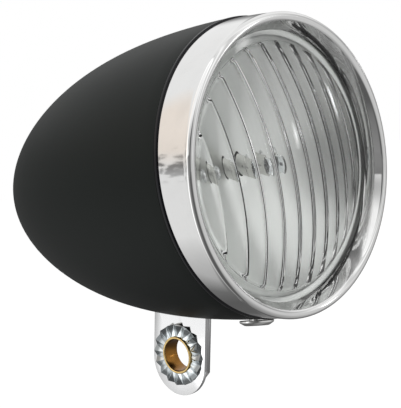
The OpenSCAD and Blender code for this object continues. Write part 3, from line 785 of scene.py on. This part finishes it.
def makeFilament():
    gap, height = bulbSize["glass"] * filamentSize["gap"], collarFront + filamentSize["ahead"]
    back, post = collarFront - filamentSize["postIn"], filamentSize["post"]
    bm = bmesh.new()
    for side in (-1, 1):
        stalk = turned([(0, back), (post, back), (post, height), (0, height)], filamentSize["postRounds"],
                       filamentSize["postSteps"])
        bmesh.ops.translate(stalk, vec=(side * gap * mm, 0, 0), verts=stalk.verts)
        joined(bm, stalk)
    coil = bmesh.new()
    turns, stepsRound = filamentSize["turns"], filamentSize["stepsRound"]
    bmesh.ops.create_circle(coil, cap_ends=False, segments=filamentSize["wireSides"],
                            radius=filamentSize["wire"] * mm)
    bmesh.ops.translate(coil, vec=(-gap * mm, filamentSize["coil"] * mm, 0), verts=coil.verts)
    bmesh.ops.spin(coil, geom=coil.verts[:] + coil.edges[:], cent=(0, 0, 0), axis=(1, 0, 0),
                   dvec=(2 * gap * mm / (turns * stepsRound), 0, 0), angle=math.tau * turns,
                   steps=turns * stepsRound)
    bmesh.ops.translate(capped(coil), vec=(0, -height * mm, 0), verts=coil.verts)
    filament = solid(joined(bm, coil), "filament_and_posts", "filament", frontFrame)
    seat(filament, "bulb", "filament_wire", "bulb_filament")


def makeHolder():
    bore = bulbSize["cap"] + holderSize["play"]
    outer, flange = bore + holderSize["wall"], holderSize["flange"]
    front = bowlForward(bowlSize["neck"]) - bowlSize["wall"] - holderSize["bowlPlay"]
    face, back = front - holderSize["flangeFrom"], front - holderSize["flangeTo"]
    profile = [(bore, capBack), (bore, front), (outer, front), (outer, face), (flange, face), (flange, back),
               (outer, back), (outer, capBack)]
    holder = solid(turned(profile, holderSize["rounds"], holderSize["around"]), "bulb_holder_cup", "holder",
                   frontFrame)
    seat(holder, "front_unit", "holder_steel", "bulb_holder")
    makeRivets((outer + flange) / 2, front - rivetSize["tailBack"])


def makeRivets(at, tail):  # one on each side of the bulb, through the bowl and the holder's flange
    face, shank, head, lift = bowlForward(at), rivetSize["shank"], rivetSize["head"], rivetSize["tailLong"]
    foot = [(0, tail), (rivetSize["tail"], tail), (head, tail + lift), (shank, tail + lift), (shank, face)]
    dome = bend(head, (0, face - rivetSize["headSink"]), 0, rivetSize["headEnd"], rivetSize["headRows"])
    bm = bmesh.new()
    for side in (-1, 1):
        rivet = turned(foot + dome + [(0, face + rivetSize["headTop"])], steps=rivetSize["around"])
        bmesh.ops.translate(rivet, vec=(side * at * mm, 0, 0), verts=rivet.verts)
        joined(bm, rivet)
    rivets = solid(bm, "holder_rivet_pair", "rivet", frontFrame @ spun(rivetSize["turn"], "Y"))
    seat(rivets, "front_unit", "rivet_aluminium", "holder_rivets")


makeCap()
makeEnvelope()
makeBulbEnd()
makeFilament()
makeHolder()
print("bulb made")


# Retaining screw and nut

nutEdge = 0.2


def makeScrew():
    high, head, shank, point = (screwSize[key] for key in ("high", "head", "shank", "point"))
    under = shellSize["radius"] + screwSize["headPlay"]
    top, tip = under + high, bezelSize["skirt"] - bezelSize["sheet"] - screwSize["reach"]
    profile = [(0, tip), (shank - point, tip), (shank, tip + point), (shank, under), (head, under),
               (head, under + high * screwSize["brim"]), (head * screwSize["crown"], top), (0, top)]
    bm = turned(profile, screwSize["rounds"], screwSize["around"])
    screw = solid(bm, "bezel_screw", "screw", screwFrame)
    slotPlace = screwFrame @ spun(screwSize["slotTurn"], "Y")
    slot = block(screwSize["slot"], high, 3 * head, (0, -top, 0), slotPlace)
    seat(carve(screw, slot), "retaining_screw", "screw_chrome", "retaining_screw")


makeScrew()
seat(dressed("retaining_nut", "bezel_screw_nut", "nut", nutEdge), "front_unit", "nut_steel", "retaining_nut")
print("screw made")


# Tab, serrated ring and eyelet

ringSize = {"inner": 4.1, "outer": 6.6, "teeth": 16, "back": 0.9, "base": 0.35, "tooth": 0.6, "root": 0.2,
            "valley": 0.2, "edge": 0.03, "keen": 20.0, "sharp": 10}
eyeletSize = {"hole": 3.5, "wall": 0.35, "near": 1.48, "far": -0.95, "roll": 0.3, "rollRows": 12,
              "rollFoot": 0.2, "flange": 1.2, "thick": 0.25, "tail": -2.2, "around": 128,
              "rounds": ((-5, 0.1), (-4, 0.1), (-2, 0.1), (-1, 0.1))}
leafEdge, saddleEdge = 0.12, 0.1
boltFrame = spun(-90, "Z")


def makeRing():
    inner, outer, back = ringSize["inner"], ringSize["outer"], ringSize["back"]
    face, teeth = back + ringSize["base"], ringSize["teeth"]
    bm = turned([(inner, back), (inner, face), (outer, face), (outer, back)], steps=2 * teeth)
    for vert in bm.verts:
        if vert.co.y < -(back + face) / 2 * mm:
            crest = round(math.atan2(vert.co.z, vert.co.x) * teeth / math.pi) % 2
            onRim = math.hypot(vert.co.x, vert.co.z) > (inner + outer) / 2 * mm
            rimLift = ringSize["tooth"] if crest else -ringSize["valley"]
            vert.co.y -= (rimLift if onRim else ringSize["root"] * crest) * mm
    bmesh.ops.triangulate(bm, faces=bm.faces)
    softened(bm, keenEdges(bm, ringSize["keen"]), ringSize["edge"])
    ring = solid(bm, "toothed_ring", "ring", boltFrame, sharp=ringSize["sharp"])
    seat(ring, "housing", "ring_steel", "serrated_ring")


def makeEyelet():
    hole, roll, near, far = (eyeletSize[key] for key in ("hole", "roll", "near", "far"))
    barrel, tail, under = hole + eyeletSize["wall"], eyeletSize["tail"], far - eyeletSize["thick"]
    outer = barrel + eyeletSize["flange"]
    rim = bend(roll, (hole + roll, near), 180, 0, eyeletSize["rollRows"])
    profile = rim + [(barrel, near - eyeletSize["rollFoot"]), (barrel, far), (outer, far), (outer, under),
                     (barrel, under), (barrel, tail), (hole, tail)]
    eyelet = solid(turned(profile, eyeletSize["rounds"], eyeletSize["around"]), "brass_bushing", "eyelet",
                   boltFrame)
    seat(eyelet, "housing", "eyelet_brass", "brass_eyelet")


makeRing()
makeEyelet()
for node, name in (("near_tab_leaf", "near_leaf"), ("far_tab_leaf", "far_leaf")):
    seat(dressed(node, name, "tab", leafEdge), "housing", "tab_plating", node)
seat(dressed("bracket_saddle", "saddle_plate", "saddle", saddleEdge), "housing", "saddle_steel",
     "bracket_saddle")
print("tab made")


# Terminal and cable inlet

terminalEdge = 0.1

for node, name, finish, slot, body in (
        ("terminal_block", "terminal_moulding", "phenolic", "phenolic", "housing"),
        ("contact_spring", "contact_leaf", "bronze", "bronze", "housing"),
        ("terminal_plate", "clamp_plate", "terminalBrass", "terminal_brass", "housing"),
        ("terminal_screw", "clamp_screw", "terminalBrass", "terminal_brass", "terminal_screw")):
    seat(dressed(node, name, finish, terminalEdge), body, slot, node)


def makeGrommet():
    bore, neck, thick, groove = (inletSize[key] for key in ("bore", "hole", "lipThick", "groove"))
    lip, foot = neck + inletSize["lip"], -groove - thick
    profile = [(bore, foot), (lip, foot), (lip, -groove), (neck, -groove), (neck, 0), (lip, 0),
               (lip, thick * inletSize["lipSlope"]), (bore, thick)]
    bm = turned(profile, inletSize["rounds"], inletSize["around"])
    grommet = solid(bm, "inlet_grommet", "grommet", inletFrame @ spun(-90, "X"))
    seat(grommet, "housing", "grey_rubber", "cable_grommet")


makeGrommet()
print("terminal and inlet made")


# Studio

studio = {"floor": -60.0, "floorSize": 3.0, "floorTone": (0.86, 0.86, 0.86), "floorGlow": 1.26,
          "floorSeen": 0.7, "level": 0.6, "sky": 1.0, "ambient": 0.5, "darkest": 0.12, "levelDim": 0.48,
          "skyDim": 0.85, "backDim": 0.7, "rightDim": 0.42, "boxDim": 0.45, "backLift": 0.31,
          "cardLift": 0.6, "frontLift": 0.2, "nearDim": 0.08, "nearReach": 0.16, "nearLeast": 0.3,
          "waves": 10.0, "waveDepth": 0.22,
          "pane": 9.0, "paneWide": 0.03, "paneTall": 0.09, "blots": 16.0, "blotDepth": 0.75, "blotHigh": 0.17,
          "warmth": (0.0, 0.09, 0.17)}
softbox = {"spot": (-0.5, 0.05, 0.6), "aim": (0, 0, 0.04), "size": 1.0, "power": 1.9,
           "seenAt": (-0.64, 0.06, 0.77)}
sides = {"camera": (-0.866, -0.5), "behind": (0.3, 0.954), "leftBack": (-0.72, 0.69), "front": (0.5, -0.87),
         "leftCard": (-0.927, 0.375), "right": (1.0, 0.0), "frontPane": (0.717, -0.693),
         "rightPane": (0.992, -0.124)}  # level directions
panes = {"frontPane": 0.05, "rightPane": 0.13}  # how high each window pane stands
ramps = {"camera": (0.7, 0.22), "behind": (0.6, 0.3), "card": (0.965, 0.025), "right": (0.78, 0.15),
         "nearFloor": (0.2, 0.5), "sky": (0.12, 0.35), "cameraTop": (0.35, 0.3), "behindTop": (0.25, 0.15),
         "box": (0.78, 0.12), "leftBack": (0.9, 0.06), "blot": (0.52, 0.06), "warmFoot": (0.1, 0.2),
         "warmTop": (0.6, 0.3)}  # where each change starts and how far it takes


def toward(across, deep, key):  # how far a level direction points to one of the room's sides
    x, y = sides[key]
    return across * x + deep * y


def eased(value, key):
    start, reach = ramps[key]
    return ((value - start) / reach).clamped()


def faded(value, middle, reach):  # 1 at the middle, 0 past the reach on both sides
    return (1 - abs(value - middle) / reach).clamped()


def levelShade(across, deep):  # the room's light at eye level, by direction
    dark = eased(toward(across, deep, "camera"), "camera") + eased(toward(across, deep, "behind"), "behind")
    light = studio["backLift"] * toward(across, deep, "leftBack").clamped()
    light += studio["cardLift"] * eased(toward(across, deep, "leftCard"), "card")
    light += studio["frontLift"] * toward(across, deep, "front").clamped()
    light -= studio["rightDim"] * eased(toward(across, deep, "right"), "right")
    return studio["level"] - studio["levelDim"] * dark + light


def frontWaves(across, deep):  # light and dark uprights in front of the lamp, which the flutes pick up
    turn = across.maths("ARCTAN2", deep * -1.0)
    ripple = (turn * studio["waves"]).maths("SINE")
    return 1.0 + ripple * studio["waveDepth"] * (deep * -2.0).clamped()


def makeFloor():
    bm = bmesh.new()
    bmesh.ops.create_grid(bm, x_segments=1, y_segments=1, size=studio["floorSize"])
    bmesh.ops.translate(bm, vec=(0, 0, studio["floor"] * mm), verts=bm.verts)
    mesh = bpy.data.meshes.new("floor")
    bm.to_mesh(mesh)
    bm.free()
    floor = bpy.data.objects.new("floor", mesh)
    paper = Finish("paleFloor")
    grain = paper.noise(0.8, detail=2)
    paper.set(Base_Color=studio["floorTone"], Roughness=0.9, Normal=paper.bump(grain, 0.01, 0.2))
    x, y, z = paper.parts(paper.place)
    far = span(x, y) + mm
    across, deep = x / far, y / far
    # as mirrors and glass see it, the floor glows with painted room shade, darker in front and close under
    # the lamp
    mirrored = levelShade(across, deep) - eased(deep * -1.0, "nearFloor") * studio["nearDim"]
    least = studio["nearLeast"]  # painted shadow close under the lamp, on the floor as mirrors and glass see it
    mirrored *= least + (1 - least) * (far / studio["nearReach"]).clamped()
    seen, mirror = paper.rays()
    tone = seen * studio["floorGlow"] + (1 - seen) * mirrored.maths("MAXIMUM", studio["darkest"])
    colour = paper.add("ShaderNodeCombineColor", None, Red=tone, Green=tone, Blue=tone)
    glow = paper.add("ShaderNodeEmission", None, Color=paper.wire(colour), Strength=1.0)
    blend = paper.add("ShaderNodeMixShader")
    share = (seen * studio["floorSeen"] + (1 - seen) * mirror).clamped()
    for place, value in zip(blend.inputs, (share, paper.wire(paper.shader), paper.wire(glow))):
        plug(paper.tree, place, value)
    plug(paper.tree, paper.tree.nodes["Material Output"].inputs["Surface"], paper.wire(blend))
    mesh.materials.append(paper.material)
    bpy.context.scene.collection.objects.link(floor)


def makeSoftbox():
    data = bpy.data.lights.new("keySoftbox", "AREA")
    data.shape = "SQUARE"
    data.size, data.energy = softbox["size"], softbox["power"]
    panel = bpy.data.objects.new("keySoftbox", data)
    panel.location = softbox["spot"]
    aim = Vector(softbox["aim"]) - Vector(softbox["spot"])
    panel.rotation_euler = aim.to_track_quat("-Z", "Y").to_euler()
    bpy.context.scene.collection.objects.link(panel)


def roomShade(board, direction):  # what mirrors and glass see of the room, and where it is warmer
    across, deep, tall = board.parts(direction)
    level = span(across, deep) + mm
    ahead, aside = deep / level, across / level
    up = eased(tall, "sky")
    camera, behind = (eased(toward(aside, ahead, side), side) for side in ("camera", "behind"))
    shut = camera * (1 - eased(tall, "cameraTop")) * studio["skyDim"]
    shut += behind * (1 - eased(tall, "behindTop")) * studio["backDim"]
    floorward = levelShade(aside, ahead).maths("MAXIMUM", studio["darkest"]) * (1 - up)
    shade = floorward + studio["sky"] * up * (1 - shut)
    x, y, z = softbox["seenAt"]  # dimmer behind the softbox, whose own light adds to it
    shade -= studio["boxDim"] * eased(across * x + deep * y + tall * z, "box")
    glints = 0.0
    for side, high in panes.items():
        x, y = sides[side]
        glint = faded(aside * y - ahead * x, 0.0, studio["paneWide"]) * faded(tall, high, studio["paneTall"])
        glints += glint * (toward(aside, ahead, side) > 0.5)  # not on the opposite side
    shade = shade * frontWaves(across, deep) + studio["pane"] * glints
    left = eased(toward(aside, ahead, "leftBack"), "leftBack")
    spots = board.add("ShaderNodeTexNoise", None, Vector=direction, Scale=studio["blots"], Detail=3.0)
    blot = eased(board.wire(spots), "blot") * left
    blot *= faded(tall, studio["blotHigh"], studio["blotHigh"]) ** 0.5
    shade *= 1 - blot * studio["blotDepth"]
    return shade, left * eased(tall, "warmFoot") * (1 - eased(tall, "warmTop"))


def makeWorld():
    world = bpy.data.worlds.new("studioRoom")
    world.use_nodes = True
    bpy.context.scene.world = world
    world.node_tree.nodes.clear()
    board = Board(world.node_tree)
    shade, warm = roomShade(board, board.wire(board.add("ShaderNodeTexCoord"), "Generated"))
    seen, mirror = board.rays()
    strength = seen + (1 - seen) * (mirror * shade + (1 - mirror) * studio["ambient"])
    red, green, blue = (1 - warm * loss * (1 - seen) for loss in studio["warmth"])
    tint = board.add("ShaderNodeCombineColor", None, Red=red, Green=green, Blue=blue)
    sky = board.add("ShaderNodeBackground", None, Color=board.wire(tint), Strength=strength)
    board.add("ShaderNodeOutputWorld", None, Surface=board.wire(sky))


makeFloor()
makeWorld()
makeSoftbox()
bpy.context.scene.view_settings.view_transform = "Standard"
print("studio made")
